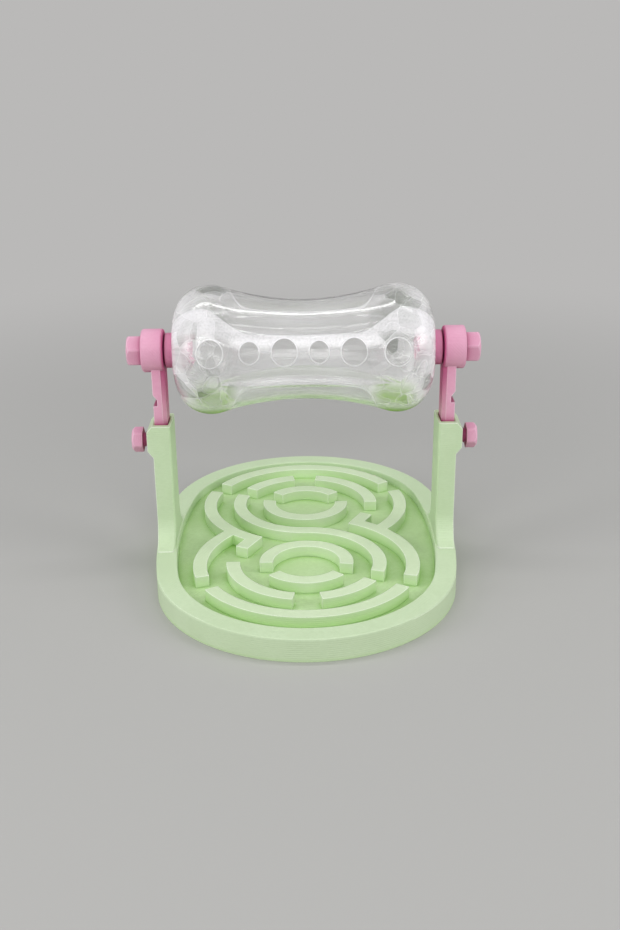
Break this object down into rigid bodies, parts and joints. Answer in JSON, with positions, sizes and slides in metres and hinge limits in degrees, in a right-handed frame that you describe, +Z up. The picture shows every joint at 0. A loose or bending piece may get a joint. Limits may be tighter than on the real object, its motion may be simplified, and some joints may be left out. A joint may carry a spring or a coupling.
{
  "type": "pet puzzle feeder",
  "caption": "Oval puzzle feeder tray with a ring maze, two upright sockets and a clear treat roller that spins between height-adjustable posts.",
  "frame": {"origin": "on the table under the middle of the tray", "axes": "+X to the right along the roller's axle, +Y from the front of the tray to its back, +Z up"},
  "size_m": [0.1982, 0.25, 0.162],
  "materials": {
    "green_print": "matte printed plastic",
    "pink_print": "matte printed plastic",
    "clear_print": "clear printed plastic"
  },
  "bodies": {
    "base": {"tray_rim": "green_print", "tray_floor": "green_print", "upright_left": "green_print", "upright_right": "green_print", "maze_inner_front": "green_print", "maze_inner_back": "green_print", "maze_middle_front": "green_print", "maze_middle_back": "green_print", "maze_s_wall": "green_print", "maze_outer_right": "green_print", "maze_outer_left": "green_print", "maze_outer_front": "green_print", "maze_outer_back": "green_print"},
    "left_post": {"post_left": "pink_print"},
    "right_post": {"post_right": "pink_print"},
    "left_screw": {"height_screw_left": "pink_print"},
    "right_screw": {"height_screw_right": "pink_print"},
    "spinner": {"roller": "clear_print", "end_plug_left": "pink_print", "end_plug_right": "pink_print", "axle_bolt_left": "pink_print", "axle_bolt_right": "pink_print"}
  },
  "joints": [
    {"name": "left_post_slide", "type": "slide", "parent": "base", "child": "left_post", "axis": [0, 0, 1], "range_m": [-0.025, 0.025]},
    {"name": "right_post_slide", "type": "slide", "parent": "base", "child": "right_post", "axis": [0, 0, 1], "range_m": [-0.025, 0.025]},
    {"name": "roller_spin", "type": "hinge", "parent": "left_post", "child": "spinner", "pos_m": [0, 0, 0.126], "axis": [1, 0, 0], "continuous": true},
    {"name": "left_screw_turn", "type": "hinge", "parent": "base", "child": "left_screw", "pos_m": [-0.095, 0, 0.0732], "axis": [1, 0, 0], "continuous": true},
    {"name": "right_screw_turn", "type": "hinge", "parent": "base", "child": "right_screw", "pos_m": [0.095, 0, 0.0732], "axis": [1, 0, 0], "continuous": true}
  ],
  "couplings": [
    {"joint": "right_post_slide", "follows": "left_post_slide", "ratio": 1}
  ]
}
